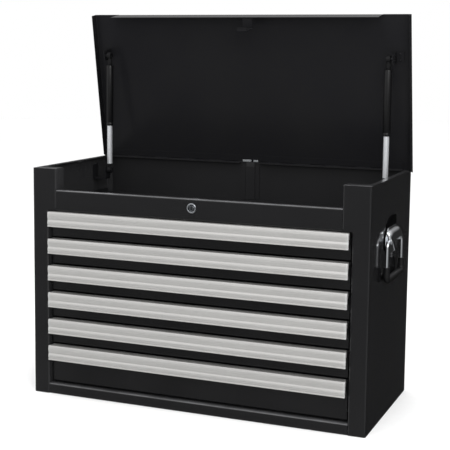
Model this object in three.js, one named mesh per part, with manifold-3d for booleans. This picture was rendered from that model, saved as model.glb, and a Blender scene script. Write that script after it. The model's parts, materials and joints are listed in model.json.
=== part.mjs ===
// A six-drawer steel top chest with its lid open, in millimetres.
// X runs to the right, Y to the back and Z up. The origin is the middle of the underside.

import * as THREE from 'three';
import { mergeVertices } from 'three/addons/utils/BufferGeometryUtils.js';
import Module from 'manifold-3d';

const wasm = await Module();
wasm.setup();

// Case
const bodyWidth = 673;
const bodyDepth = 305;
const bodyHeight = 446;
const caseSheet = 1.2;
const seatGap = 0.3;
const cornerGap = 0.8;
const overrun = 2;
const bendRadius = 1.8;
const postWidth = 32.5;
const postReturn = 30;
const postEarWidth = 18;
const sideTopReturn = 10;
const rearReturn = 14;
const notchDepth = 41.5;
const topRailHeight = 40;
const topRailReturn = 12;
const bottomRailHeight = 20;
const bottomRailLip = 16;
const bottomPanEdge = 14;
const backTopDrop = 0.7;
const backTopReturn = 12;
const trayRise = 2;
const trayEdge = 8;

// Drawers and pulls
const shallowCount = 5;
const deepShare = 1.476;
const drawerGap = 2;
const railGap = 1.5;
const bottomGap = 4;
const drawerRecess = 10;
const drawerSideGap = 4;
const drawerSheet = 1;
const drawerReturn = 12;
const boxLift = 3;
const boxDrop = 9;
const boxRearGap = 22;
const hookNotchWidth = 34;
const hookNotchDepth = 15;
const pullHeight = 29;
const pullDepth = 19.5;
const pullWall = 1.8;
const pullFoot = 13;
const pullLip = 2.4;
const pullRidge = 12;
const pullHollow = 1.5;
const bandShare = 0.75;

// Drawer slides
const slideWidth = 12.7;
const slideHeight = 30;
const slideSheet = 1.2;
const slideFlange = 9.2;
const slideGap = 0.4;
const slideRise = 4;
const slideFrontGap = 24;
const uprightWidth = 25;
const frontUprightGap = 2;
const rearUprightGap = 24;
const uprightWallGap = 1.8;

// Lid and its hinge
const lidSheet = 1.2;
const lidGap = 1;
const lidSideGap = 1.5;
const lidFlange = 18;
const lidFrontFlange = 39;
const lidNotchGap = 2;
const lidTaper = 12;
const lidOpen = THREE.MathUtils.degToRad(80);
const hingePinRadius = 1.3;
const hingeBore = 1.65;
const hingeLeaf = 1;
const hingeLeafWidth = 16;
const hingeLeafInset = 16.5;
const hingeKnuckles = 20;
const knuckleGap = 0.4;

// Gas struts
const strutInset = 37;
const strutFootBack = 62;
const strutFootDrop = 24;
const strutHeadOut = 226;
const strutHeadDrop = 22;
const studRadius = 3.2;
const studHeadRadius = 5;
const studHead = 1.5;
const footEyeBore = 3.7;
const studShank = 4.5;
const eyeRadius = 7;
const eyeWidth = 8;
const eyeGap = 0.4;
const rodRadius = 5.5;
const rodLength = 125;
const rodNeck = 3.6;
const cylinderRadius = 7.5;
const cylinderBore = 6;
const cylinderStart = 95;
const cylinderHeadGap = 20;
const bracketSheet = 2;
const bracketWidth = 20;
const bracketHeight = 22;
const bracketFoot = 16;
const bracketArmDrop = 11;

// Lock, strike and drawer lock bar
const lockRise = 23;
const bezelRadius = 9.8;
const bezelHeight = 2.6;
const bezelRound = 0.8;
const barrelRadius = 8;
const barrelLength = 17;
const lockHoleGap = 0.3;
const plugRadius = 5.3;
const plugBore = 5.7;
const plugRecess = 0.6;
const plugStem = 2.6;
const stemBore = 2.9;
const keywayWidth = 1.6;
const keywayHeight = 6.4;
const keywayDepth = 6;
const nutWidth = 22;
const nutHeight = 4;
const stemHead = 1.4;
const stemHeadRadius = 4;
const camSheet = 1.5;
const camWidth = 11;
const camReach = 16;
const strikeSheet = 1.5;
const strikeWidth = 20;
const strikeOffset = 19;
const strikeLip = 7;
const strikeGap = 2;
const barWidth = 18;
const barSheet = 2;
const barRise = 5;
const barTravel = 8;
const barSlotGap = 3;
const barHeadWidth = 34;
const barHeadNotch = 5;
const barHeadNotchOffset = 4.5;
const hookSheet = 2;
const hookWidth = 12;
const hookDrop = 7;
const hookLift = 9;
const hookClear = 2.5;
const guideSheet = 1.2;
const guideBend = 0.1;
const guideEar = 10;
const guideHeadGap = 1;

// Side handles
const handleDrop = 112;
const handleForward = 6;
const backplateWidth = 76;
const backplateRise = 42;
const backplateCorner = 13;
const backplateSheet = 1.5;
const backplateSkirt = 16;
const bracketPlateWidth = 92;
const bracketPlateRise = 24;
const bracketPlateDrop = 26;
const bracketPlateCorner = 16;
const hoodRise = 20;
const hoodFoot = 3;
const hoodOut = 15;
const hoodSheet = 1.5;
const eyeSpan = 84;
const eyeLength = 9;
const eyeOuter = 5.6;
const eyeInner = 4;
const bailOut = 8.5;
const bailRadius = 3.6;
const bailDrop = 68;
const bailArmGap = 14;
const bailPin = 24;
const bailBend = 9;
const gripRadius = 6.2;
const gripBore = 3.9;
const gripTurn = 24;

// Steps on round stretches
const foldSteps = 3;
const bandSteps = 6;
const cornerSteps = 4;
const roundSteps = 12;
const fineSteps = 20;
const nutSides = 6;

// Places shared by several pieces
const halfWidth = bodyWidth / 2;
const front = -bodyDepth / 2;
const back = bodyDepth / 2;
const halfSheet = caseSheet / 2;
const sideInner = halfWidth - caseSheet;
const backInner = back - caseSheet;
const rearReturnFace = backInner - seatGap - caseSheet;
const openingHalf = halfWidth - postWidth;
const notchHalf = openingHalf - postEarWidth;
const railTop = bodyHeight - notchDepth;
const railBottom = railTop - topRailHeight;
const trayTop = railBottom + trayRise + caseSheet;
const trayUnderside = trayTop - caseSheet;
const drawerFront = front + drawerRecess;
const panelHalf = openingHalf - drawerSideGap;
const boxHalf = openingHalf - slideWidth;
const boxBack = back - boxRearGap;
const boxFloorTop = boxLift + drawerSheet;
const barrelTop = hingeBore + hingeLeaf;
const hingeY = back + seatGap + barrelTop;
const hingeZ = bodyHeight + lidGap - seatGap - barrelTop;
const hingeHalf = halfWidth - hingeLeafInset;
const strutX = halfWidth - strutInset;
const lockZ = railBottom + lockRise;

// Finishes, each mesh with a material of its own
const finishes = {
  blackPaint: { color: 0x1b1b1c, roughness: 0.3, metalness: 0.1 },
  drawerPaint: { color: 0x191919, roughness: 0.36, metalness: 0.1 },
  aluminium: { color: 0xc9c7c4, roughness: 0.38, metalness: 0.9 },
  zincSteel: { color: 0xa8aaac, roughness: 0.4, metalness: 0.9 },
  chrome: { color: 0xd9dbde, roughness: 0.12, metalness: 1 },
  blackTube: { color: 0x141415, roughness: 0.28, metalness: 0.2 },
  blackVinyl: { color: 0x161616, roughness: 0.6, metalness: 0 },
};

function piece(name, geometry, finish) {
  const mesh = new THREE.Mesh(geometry, new THREE.MeshStandardMaterial(finishes[finish]));
  mesh.name = name;
  return mesh;
}

// Solids: a geometry is welded for the boolean and comes back with flat facets.
function toSolid(geometry) {
  const bare = geometry.clone();
  bare.deleteAttribute('normal');
  bare.deleteAttribute('uv');
  const welded = mergeVertices(bare);
  return new wasm.Manifold(new wasm.Mesh({
    numProp: 3,
    vertProperties: new Float32Array(welded.attributes.position.array),
    triVerts: new Uint32Array(welded.index.array),
  }));
}

function toGeometry(solid) {
  const { numProp, vertProperties, triVerts } = solid.getMesh();
  const places = new Float32Array((vertProperties.length / numProp) * 3);
  for (let i = 0; i < places.length / 3; i += 1) {
    places.set(vertProperties.subarray(i * numProp, i * numProp + 3), i * 3);
  }
  const indexed = new THREE.BufferGeometry();
  indexed.setAttribute('position', new THREE.BufferAttribute(places, 3));
  indexed.setIndex(new THREE.BufferAttribute(new Uint32Array(triVerts), 1));
  const faceted = indexed.toNonIndexed();
  faceted.computeVertexNormals();
  return faceted;
}

function build(added, removed = []) {
  let solid = toSolid(added[0]);
  added.slice(1).forEach((geometry) => {
    solid = solid.add(toSolid(geometry));
  });
  removed.forEach((geometry) => {
    solid = solid.subtract(toSolid(geometry));
  });
  return toGeometry(solid);
}

function block([x0, x1], [y0, y1], [z0, z1]) {
  const geometry = new THREE.BoxGeometry(Math.abs(x1 - x0), Math.abs(y1 - y0), Math.abs(z1 - z0));
  return geometry.translate((x0 + x1) / 2, (y0 + y1) / 2, (z0 + z1) / 2);
}

// An outline drawn on the two other axes and drawn out along the named one.
function prism(points, axis, from, to) {
  const shape = new THREE.Shape(points.map(([a, b]) => new THREE.Vector2(a, b)));
  const geometry = new THREE.ExtrudeGeometry(shape, { depth: Math.abs(to - from), bevelEnabled: false });
  const start = Math.min(from, to);
  if (axis === 'z') {
    return geometry.translate(0, 0, start);
  }
  const turned = new THREE.Matrix4();
  if (axis === 'x') {
    turned.makeBasis(new THREE.Vector3(0, 1, 0), new THREE.Vector3(0, 0, 1), new THREE.Vector3(1, 0, 0));
    return geometry.applyMatrix4(turned).translate(start, 0, 0);
  }
  turned.makeBasis(new THREE.Vector3(1, 0, 0), new THREE.Vector3(0, 0, 1), new THREE.Vector3(0, -1, 0));
  return geometry.applyMatrix4(turned).translate(0, Math.max(from, to), 0);
}

// Places along a line with rounded folds, each with the direction to its left.
function foldedLine(corners, bend) {
  const points = corners.map(([a, b]) => new THREE.Vector2(a, b));
  const line = [];
  points.forEach((here, i) => {
    const before = points[Math.max(i - 1, 0)];
    const after = points[Math.min(i + 1, points.length - 1)];
    const arriving = here.clone().sub(before).normalize();
    const leaving = after.clone().sub(here).normalize();
    const along = i === 0 ? leaving : arriving;
    const normal = new THREE.Vector2(-along.y, along.x);
    if (i === 0 || i === points.length - 1) {
      line.push({ at: here, normal });
      return;
    }
    const turn = Math.atan2(arriving.cross(leaving), arriving.dot(leaving));
    const reach = bend * Math.tan(Math.abs(turn) / 2);
    const toCentre = Math.sign(turn) * bend;
    const centre = here.clone().addScaledVector(arriving, -reach).addScaledVector(normal, toCentre);
    for (let step = 0; step <= foldSteps; step += 1) {
      const turned = normal.clone().rotateAround(new THREE.Vector2(), (turn * step) / foldSteps);
      line.push({ at: centre.clone().addScaledVector(turned, -toCentre), normal: turned });
    }
  });
  return line;
}

// The outline of a bent strip of sheet, given by the corners of its middle line.
function strip(corners, sheet, bend = bendRadius) {
  const line = foldedLine(corners, bend);
  const edge = (side) => line.map(({ at, normal }) => at.clone().addScaledVector(normal, side * sheet / 2));
  return [...edge(1), ...edge(-1).reverse()].map(({ x, y }) => [x, y]);
}

// A round rod bent in the plane of Y and Z: rings of points joined by bands, and a fan at either end.
function bentRod(corners, bend, radius) {
  const line = foldedLine(corners, bend);
  const places = [];
  line.forEach(({ at, normal }) => {
    for (let i = 0; i < roundSteps; i += 1) {
      const angle = (2 * Math.PI * i) / roundSteps;
      const across = Math.cos(angle) * radius;
      places.push(Math.sin(angle) * radius, at.x + normal.x * across, at.y + normal.y * across);
    }
  });
  const faces = [];
  for (let ring = 0; ring < line.length - 1; ring += 1) {
    for (let i = 0; i < roundSteps; i += 1) {
      const a = ring * roundSteps + i;
      const b = ring * roundSteps + ((i + 1) % roundSteps);
      faces.push(a, b, b + roundSteps, a, b + roundSteps, a + roundSteps);
    }
  }
  const last = (line.length - 1) * roundSteps;
  for (let i = 1; i < roundSteps - 1; i += 1) {
    faces.push(0, i + 1, i, last, last + i, last + i + 1);
  }
  const geometry = new THREE.BufferGeometry();
  geometry.setAttribute('position', new THREE.BufferAttribute(new Float32Array(places), 3));
  geometry.setIndex(faces);
  const faceted = geometry.toNonIndexed();
  faceted.computeVertexNormals();
  return faceted;
}

function rod(axis, radius, from, to, segments = roundSteps) {
  const geometry = new THREE.CylinderGeometry(radius, radius, Math.abs(to - from), segments);
  const middle = (from + to) / 2;
  if (axis === 'x') {
    return geometry.rotateZ(Math.PI / 2).translate(middle, 0, 0);
  }
  if (axis === 'z') {
    return geometry.rotateX(Math.PI / 2).translate(0, 0, middle);
  }
  return geometry.translate(0, middle, 0);
}

// Side panel: outer wall, front post with its return, rear return and top return. Above the drawers the
// post is wider by an ear, which stands beside the top rail and the lid notch.
function sidePanel(name, side) {
  const plan = (postEdge) => strip([
    [side * (halfWidth - rearReturn), rearReturnFace + halfSheet],
    [side * (halfWidth - halfSheet), rearReturnFace + halfSheet],
    [side * (halfWidth - halfSheet), front + halfSheet],
    [side * (postEdge + halfSheet), front + halfSheet],
    [side * (postEdge + halfSheet), front + postReturn],
  ], caseSheet);
  const earBottom = trayTop + seatGap;
  const roof = [bodyHeight - caseSheet, bodyHeight];
  const topEdge = block([side * (halfWidth - sideTopReturn), side * (halfWidth - halfSheet)],
    [front + bendRadius, rearReturnFace + halfSheet], roof);
  const postCap = block([side * notchHalf, side * (halfWidth - bendRadius)],
    [front + halfSheet, front + postReturn], roof);
  const earFoot = block([side * notchHalf, side * (openingHalf + bendRadius + caseSheet)],
    [front, front + caseSheet], [railBottom, earBottom + bendRadius]);
  return piece(name, build([
    prism(plan(openingHalf), 'z', 0, earBottom),
    prism(plan(notchHalf), 'z', earBottom, bodyHeight),
    earFoot,
    topEdge,
    postCap,
  ]), 'blackPaint');
}

function backPanel() {
  const top = bodyHeight - backTopDrop;
  const returnHalf = halfWidth - rearReturn - seatGap;
  const slotHalf = barHeadWidth / 2 + barSlotGap;
  const sheet = block([-halfWidth, halfWidth], [backInner, back], [0, top]);
  const edge = block([-returnHalf, returnHalf], [backInner - backTopReturn, back], [top - caseSheet, top]);
  const slot = block([-slotHalf, slotHalf], [backInner - backTopReturn - overrun, backInner],
    [top - caseSheet - overrun, top + overrun]);
  return piece('back_panel', build([sheet, edge], [slot]), 'blackPaint');
}

function bottomPan() {
  const profile = strip([
    [front + postReturn, halfSheet],
    [rearReturnFace - seatGap - halfSheet, halfSheet],
    [rearReturnFace - seatGap - halfSheet, bottomPanEdge],
  ], caseSheet);
  const half = sideInner - cornerGap;
  return piece('bottom_pan', prism(profile, 'x', -half, half), 'blackPaint');
}

function bottomRail() {
  const profile = strip([
    [front + bottomRailLip, halfSheet],
    [front + halfSheet, halfSheet],
    [front + halfSheet, bottomRailHeight - halfSheet],
    [front + postReturn, bottomRailHeight - halfSheet],
    [front + postReturn, caseSheet + seatGap],
  ], caseSheet);
  const half = openingHalf - seatGap;
  return piece('bottom_rail', prism(profile, 'x', -half, half), 'blackPaint');
}

// Top rail: a folded strip between the ears of the posts, with a tab behind each ear at its foot.
function topRail() {
  const half = notchHalf - seatGap;
  const lip = [railBottom, railBottom + caseSheet];
  const profile = strip([
    [front + drawerRecess, railBottom + halfSheet],
    [front + halfSheet, railBottom + halfSheet],
    [front + halfSheet, railTop - halfSheet],
    [front + topRailReturn, railTop - halfSheet],
  ], caseSheet);
  const tabs = [-1, 1].map((side) => block([side * (half - overrun), side * (openingHalf - seatGap)],
    [front + caseSheet + bendRadius, front + drawerRecess], lip));
  const hole = rod('y', barrelRadius + lockHoleGap, front - overrun, front + overrun, fineSteps);
  return piece('top_rail', build([prism(profile, 'x', -half, half), ...tabs], [hole.translate(0, 0, lockZ)]),
    'blackPaint');
}

function trayFloor() {
  const half = sideInner - cornerGap;
  const rear = rearReturnFace - seatGap;
  const slotHalf = barWidth / 2 + barSlotGap;
  const level = [trayUnderside, trayTop];
  const floor = block([-half, half], [front + postReturn + seatGap, rear], level);
  const tongue = block([-(openingHalf - seatGap), openingHalf - seatGap],
    [front + bendRadius + caseSheet, front + postReturn + overrun], level);
  const edges = [-1, 1].map((side) => block([side * (half - caseSheet), side * half],
    [front + postReturn + seatGap, rear], [trayUnderside, trayUnderside + trayEdge]));
  const slot = block([-slotHalf, slotHalf], [rear - barSheet - barSlotGap - hookSheet, rear + overrun],
    [trayUnderside - overrun, trayTop + overrun]);
  return piece('tray_floor', build([floor, tongue, ...edges], [slot]), 'blackPaint');
}

// Places of the drawers: they share the space between the rails, the lowest one with the larger share.
const lowestBottom = bottomRailHeight + bottomGap;
const frontsHeight = railBottom - railGap - lowestBottom - shallowCount * drawerGap;
const shallowHeight = frontsHeight / (shallowCount + deepShare);
const drawers = [];
for (let i = 0; i <= shallowCount; i += 1) {
  const top = railBottom - railGap - i * (shallowHeight + drawerGap);
  const bottom = i < shallowCount ? top - shallowHeight : lowestBottom;
  drawers.push({ number: i + 1, bottom, height: top - bottom });
}

const slideMiddle = boxLift + slideRise + slideHeight / 2;
const slideStart = drawerFront + slideFrontGap;

// Slide rack: two uprights and the outer channel of each slide, open towards the drawers.
function slideRack(name, side) {
  const wall = side * (sideInner - uprightWallGap);
  const face = side * (openingHalf + halfSheet);
  const starts = [front + postReturn + frontUprightGap, boxBack - rearUprightGap - uprightWidth];
  const parts = starts.map((start) => prism(strip([
    [wall, start + halfSheet],
    [face, start + halfSheet],
    [face, start + uprightWidth - halfSheet],
    [wall, start + uprightWidth - halfSheet],
  ], caseSheet), 'z', caseSheet + seatGap, trayUnderside - seatGap));
  drawers.forEach(({ bottom }) => {
    const low = bottom + slideMiddle - slideHeight / 2 + slideSheet / 2;
    const high = bottom + slideMiddle + slideHeight / 2 - slideSheet / 2;
    const web = side * (openingHalf - slideSheet / 4);
    const rim = side * (openingHalf - slideFlange);
    const channel = strip([[rim, low], [web, low], [web, high], [rim, high]], slideSheet);
    parts.push(prism(channel, 'y', slideStart, boxBack));
  });
  return piece(name, build(parts), 'zincSteel');
}

// Drawer: a folded front over an open box, with a notch in the back wall for the lock hook.
function drawerTray(name, height) {
  const half = drawerSheet / 2;
  const frontFold = strip([
    [drawerReturn, height - half],
    [half, height - half],
    [half, half],
    [drawerReturn, half],
  ], drawerSheet);
  const depth = boxBack - drawerFront;
  const boxTop = height - boxDrop;
  const box = block([-boxHalf + seatGap, boxHalf - seatGap], [half, depth], [boxLift, boxTop]);
  const room = block([-boxHalf + seatGap + drawerSheet, boxHalf - seatGap - drawerSheet],
    [drawerSheet, depth - drawerSheet], [boxFloorTop, boxTop + overrun]);
  const notch = block([-hookNotchWidth / 2, hookNotchWidth / 2],
    [depth - drawerSheet - overrun, depth + overrun], [boxTop - hookNotchDepth, boxTop + overrun]);
  const hollowed = toGeometry(toSolid(box).subtract(toSolid(room)).subtract(toSolid(notch)));
  return piece(name, build([hollowed, prism(frontFold, 'x', -panelHalf, panelHalf)]), 'drawerPaint');
}

// Pull: a channel that hooks over the drawer front, with two rounded bands on its face and a lip below.
function drawerPull(name, height) {
  const top = height;
  const face = -pullDepth;
  const rear = -seatGap;
  const inner = face + pullHollow + pullWall;
  const band = (start, end) => {
    const points = [];
    for (let step = 0; step <= bandSteps; step += 1) {
      const share = step / bandSteps;
      const swell = Math.sin(Math.PI * share ** bandShare) * pullHollow;
      points.push([face + pullHollow - swell, start + (end - start) * share]);
    }
    return points;
  };
  const ridge = top - pullHeight + pullRidge;
  const lip = top - pullHeight + pullLip;
  const outline = [
    [rear, top],
    ...band(top, ridge),
    ...band(ridge - pullHollow, lip),
    [face, lip - pullHollow / 2],
    [face, top - pullHeight],
    [inner, top - pullHeight],
    [inner, top - pullWall],
    [rear - pullWall, top - pullWall],
    [rear - pullWall, top - pullFoot],
    [rear, top - pullFoot],
  ];
  return piece(name, prism(outline, 'x', -panelHalf, panelHalf), 'aluminium');
}

// Inner channel of a slide, fixed to the drawer box and running inside the rack's channel.
function drawerRail(name, side) {
  const web = side * (boxHalf + slideSheet / 2);
  const rim = side * (openingHalf - slideSheet - slideGap);
  const reach = slideHeight / 2 - slideSheet - slideGap - slideSheet / 2;
  const channel = strip([
    [rim, slideMiddle - reach],
    [web, slideMiddle - reach],
    [web, slideMiddle + reach],
    [rim, slideMiddle + reach],
  ], slideSheet);
  return piece(name, prism(channel, 'y', slideFrontGap, boxBack - drawerFront), 'zincSteel');
}

function drawerGroup({ number, bottom, height }) {
  const group = new THREE.Group();
  group.name = `drawer_${number}_group`;
  group.position.set(0, drawerFront, bottom);
  group.add(
    drawerTray(`drawer_${number}`, height),
    drawerPull(`drawer_${number}_pull`, height),
    drawerRail(`drawer_${number}_rail_left`, -1),
    drawerRail(`drawer_${number}_rail_right`, 1),
  );
  return group;
}

// Lid, drawn closed from the hinge axis: a pan with two side flanges and the front flange.
const lidUnder = bodyHeight + lidGap - hingeZ;
const lidFront = front - hingeY;
const lidRear = barrelTop + seatGap;

function lidPan() {
  const inner = halfWidth + lidSideGap;
  const wall = inner + lidSheet / 2;
  const section = strip([
    [-wall, lidUnder + lidSheet - lidFlange],
    [-wall, lidUnder + lidSheet / 2],
    [wall, lidUnder + lidSheet / 2],
    [wall, lidUnder + lidSheet - lidFlange],
  ], lidSheet);
  const flangeHalf = notchHalf - lidNotchGap;
  const frontFlange = prism(strip([
    [lidFront + lidTaper, lidUnder + lidSheet / 2],
    [lidFront + lidSheet / 2, lidUnder + lidSheet / 2],
    [lidFront + lidSheet / 2, lidUnder + lidSheet - lidFrontFlange],
  ], lidSheet), 'x', -flangeHalf, flangeHalf);
  const sheared = [[-inner, -wall - lidSheet], [inner, wall + lidSheet]].map(([from, to]) => prism([
    [lidRear + overrun, lidUnder],
    [lidRear - lidTaper, lidUnder - lidFlange - overrun],
    [lidRear + overrun, lidUnder - lidFlange - overrun],
  ], 'x', from, to));
  const relief = block([-flangeHalf, flangeHalf], [lidFront - overrun, lidFront + bendRadius + lidSheet],
    [lidUnder - overrun, lidUnder + lidSheet + overrun]);
  const pan = build([prism(section, 'y', lidFront, lidRear)], [relief]);
  return piece('lid', build([pan, frontFlange], sheared), 'blackPaint');
}

// Hinge leaf with every other knuckle; turned marks the leaf that lies under the lid.
function hingeLeafPiece(name, turned) {
  const pitch = (2 * hingeHalf) / hingeKnuckles;
  const clear = barrelTop + knuckleGap;
  const parts = [block([-hingeHalf, hingeHalf], [-barrelTop, -hingeBore], [-hingeLeafWidth, -clear])];
  const bore = rod('x', hingeBore, -hingeHalf - overrun, hingeHalf + overrun);
  for (let i = turned ? 1 : 0; i < hingeKnuckles; i += 2) {
    const from = -hingeHalf + i * pitch + knuckleGap / 2;
    const to = from + pitch - knuckleGap;
    parts.push(rod('x', barrelTop, from, to));
    parts.push(block([from, to], [-barrelTop, -hingeBore], [-clear - hingeLeaf, 0]));
  }
  const geometry = build(parts, [bore]);
  if (turned) {
    geometry.rotateX(-Math.PI / 2);
  }
  return piece(name, geometry, 'blackPaint');
}

function hingePin() {
  const reach = hingeHalf + knuckleGap;
  const pin = piece('hinge_pin', rod('x', hingePinRadius, -reach, reach), 'zincSteel');
  pin.position.set(0, hingeY, hingeZ);
  return pin;
}

// Strut geometry in the plane of the hinge: the head's place turns with the lid.
const headClosed = new THREE.Vector2(-strutHeadOut, -strutHeadDrop);
const headOpen = headClosed.clone().rotateAround(new THREE.Vector2(), -lidOpen);
const foot = new THREE.Vector2(-strutFootBack, -strutFootDrop);
const strutOpen = headOpen.clone().sub(foot);
const strutLength = strutOpen.length();
const strutLean = Math.atan2(-strutOpen.x, strutOpen.y);

function strutGroup(word, side) {
  const group = new THREE.Group();
  group.name = `${word}_strut_group`;
  group.position.set(side * strutX, hingeY - strutFootBack, hingeZ - strutFootDrop);
  group.rotation.x = strutLean;
  const eye = () => rod('x', eyeRadius, -eyeWidth / 2, eyeWidth / 2, fineSteps);
  const footBore = rod('x', footEyeBore, -eyeWidth, eyeWidth, fineSteps);
  const neckTop = eyeRadius * 2;
  const neck = rod('z', rodNeck, eyeRadius / 2, neckTop);
  const shaft = rod('z', rodRadius, neckTop - seatGap, rodLength);
  group.add(piece(`${word}_strut_rod`, build([eye(), neck, shaft], [footBore]), 'chrome'));
  const shellTop = strutLength - cylinderHeadGap;
  const shell = rod('z', cylinderRadius, cylinderStart, shellTop, fineSteps);
  const bore = rod('z', cylinderBore, cylinderStart - overrun, shellTop - cylinderRadius, fineSteps);
  const head = eye().translate(0, 0, strutLength);
  const headNeck = rod('z', rodNeck, shellTop - seatGap, strutLength - eyeRadius / 2);
  group.add(piece(`${word}_strut_cylinder`, build([shell, headNeck, head], [bore]), 'blackTube'));
  return group;
}

// Lower bracket: a strip folded into a channel, from the side wall to a tab beside the rod's eye. The
// tab carries a stud through the eye, with a head that keeps it on.
function lowerBracket(word, side) {
  const wall = side * (strutInset - caseSheet - seatGap - bracketSheet / 2);
  const tab = side * (eyeWidth / 2 + eyeGap + bracketSheet / 2);
  const eyeFace = -side * (eyeWidth / 2 + eyeGap);
  const headFace = eyeFace - side * studHead;
  const top = bracketHeight / 2;
  const arm = -eyeRadius - bracketArmDrop;
  const channel = prism(strip([[wall, top], [wall, arm], [tab, arm], [tab, eyeRadius]], bracketSheet), 'y',
    -bracketWidth / 2, bracketWidth / 2);
  const stud = rod('x', studRadius, tab, headFace, fineSteps);
  const head = rod('x', studHeadRadius, eyeFace, headFace, fineSteps);
  const bracket = piece(`${word}_lower_bracket`, build([channel, stud, head]), 'blackPaint');
  bracket.position.set(side * strutX, hingeY - strutFootBack, hingeZ - strutFootDrop);
  return bracket;
}

// Upper bracket: an angle under the lid. Its stud stops short of the cylinder's eye, which runs free.
function upperBracket(word, side) {
  const stubEnd = side * (eyeWidth / 2 + eyeGap);
  const inner = stubEnd + side * studShank;
  const outer = inner + side * bracketSheet;
  const roof = strutHeadDrop + lidUnder - seatGap;
  const across = [-bracketWidth / 2, bracketWidth / 2];
  const tab = block([inner, outer], across, [-eyeRadius, roof]);
  const footPlate = block([inner, inner + side * bracketFoot], across, [roof - bracketSheet, roof]);
  const stud = rod('x', studRadius, outer - side * bracketSheet / 2, stubEnd, fineSteps);
  const bracket = piece(`${word}_upper_bracket`, build([tab, footPlate, stud]), 'blackPaint');
  bracket.position.set(side * strutX, headClosed.x, headClosed.y);
  return bracket;
}

// Strike: bent from the front flange, back and down, with a lip that the cam passes over.
const camFront = front + barrelLength + plugStem;

function lidStrike() {
  const plateFront = front + lidSheet + seatGap;
  const rear = camFront + camSheet + strikeGap;
  const flangeEnd = bodyHeight + lidGap + lidSheet - lidFrontFlange;
  const lipTop = lockZ - camWidth / 2 - strikeGap;
  const section = strip([
    [plateFront + strikeSheet / 2, flangeEnd + lidFrontFlange / 2],
    [plateFront + strikeSheet / 2, flangeEnd + strikeGap],
    [rear + strikeSheet / 2, flangeEnd + strikeGap],
    [rear + strikeSheet / 2, lipTop - strikeSheet / 2],
    [rear - strikeLip, lipTop - strikeSheet / 2],
  ], strikeSheet);
  const strike = prism(section, 'x', strikeOffset - strikeWidth / 2, strikeOffset + strikeWidth / 2);
  return piece('lid_strike', strike.translate(0, -hingeY, -hingeZ), 'blackPaint');
}

function lidGroup() {
  const group = new THREE.Group();
  group.name = 'lid_group';
  group.position.set(0, hingeY, hingeZ);
  group.rotation.x = -lidOpen;
  group.add(lidPan(), hingeLeafPiece('lid_leaf', true), lidStrike());
  group.add(upperBracket('left', -1), upperBracket('right', 1));
  return group;
}

// Lock: housing through the rail, its nut, the turning plug and the cam on its stem.
function lockGroup() {
  const group = new THREE.Group();
  group.name = 'lock_group';
  group.position.set(0, front, lockZ);
  const dome = new THREE.LatheGeometry([
    [0, -bezelHeight],
    [bezelRadius - bezelHeight, -bezelHeight],
    [bezelRadius - bezelRound, -bezelHeight + bezelRound],
    [bezelRadius, -seatGap],
    [0, -seatGap],
  ].map(([r, y]) => new THREE.Vector2(r, y)), fineSteps);
  const barrel = rod('y', barrelRadius, -bezelHeight / 2, barrelLength, fineSteps);
  const bore = rod('y', plugBore, -bezelHeight - overrun, barrelLength + overrun, fineSteps);
  const housing = piece('lock_housing', build([dome, barrel], [bore]), 'chrome');
  const nutBlank = rod('y', nutWidth / 2, caseSheet + seatGap, caseSheet + seatGap + nutHeight, nutSides);
  const nutBore = rod('y', barrelRadius + lockHoleGap, 0, caseSheet + nutHeight + overrun, fineSteps);
  const nut = piece('lock_nut', build([nutBlank], [nutBore]), 'zincSteel');
  const stemEnd = barrelLength + plugStem + camSheet + seatGap;
  const body = rod('y', plugRadius, plugRecess - bezelHeight, barrelLength + plugStem - seatGap, fineSteps);
  const stem = rod('y', plugStem, barrelLength, stemEnd + stemHead);
  const rivet = rod('y', stemHeadRadius, stemEnd, stemEnd + stemHead);
  const keyway = block([-keywayWidth / 2, keywayWidth / 2],
    [-bezelHeight - overrun, plugRecess - bezelHeight + keywayDepth], [-keywayHeight / 2, keywayHeight / 2]);
  const plug = piece('lock_plug', build([body, stem, rivet], [keyway]), 'chrome');
  const camPlace = barrelLength + plugStem;
  const hub = rod('y', camWidth / 2, camPlace, camPlace + camSheet);
  const arm = block([-camWidth / 2, camWidth / 2], [camPlace, camPlace + camSheet], [0, camReach]);
  const camBore = rod('y', stemBore, camPlace - overrun, camPlace + camSheet + overrun);
  const cam = piece('lock_cam', build([hub, arm], [camBore]), 'zincSteel');
  group.add(housing, nut, plug, cam);
  return group;
}

// Drawer lock bar: its head stands above the back panel until the closing lid presses it down.
function lockBar() {
  const rear = backInner - seatGap;
  const face = rear - barSheet;
  const footLevel = bottomPanEdge + barTravel + barSlotGap;
  const top = bodyHeight + barRise;
  const parts = [block([-barWidth / 2, barWidth / 2], [face, rear], [footLevel, top])];
  parts.push(block([-barHeadWidth / 2, barHeadWidth / 2], [face, rear], [bodyHeight, top]));
  const notch = block([barHeadNotchOffset - barHeadNotch / 2, barHeadNotchOffset + barHeadNotch / 2],
    [face - overrun, rear + overrun], [bodyHeight, top + overrun]);
  drawers.forEach(({ bottom, height }) => {
    const edge = bottom + height - boxDrop - hookNotchDepth;
    const tip = boxBack - drawerSheet - hookClear - hookSheet;
    const low = edge + hookLift - hookDrop + hookClear;
    const arm = [low + hookDrop - hookSheet, low + hookDrop];
    parts.push(block([-hookWidth / 2, hookWidth / 2], [tip, face + barSheet / 2], arm));
    parts.push(block([-hookWidth / 2, hookWidth / 2], [tip, tip + hookSheet], [low, arm[1]]));
  });
  return piece('lock_bar', build(parts, [notch]), 'zincSteel');
}

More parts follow.
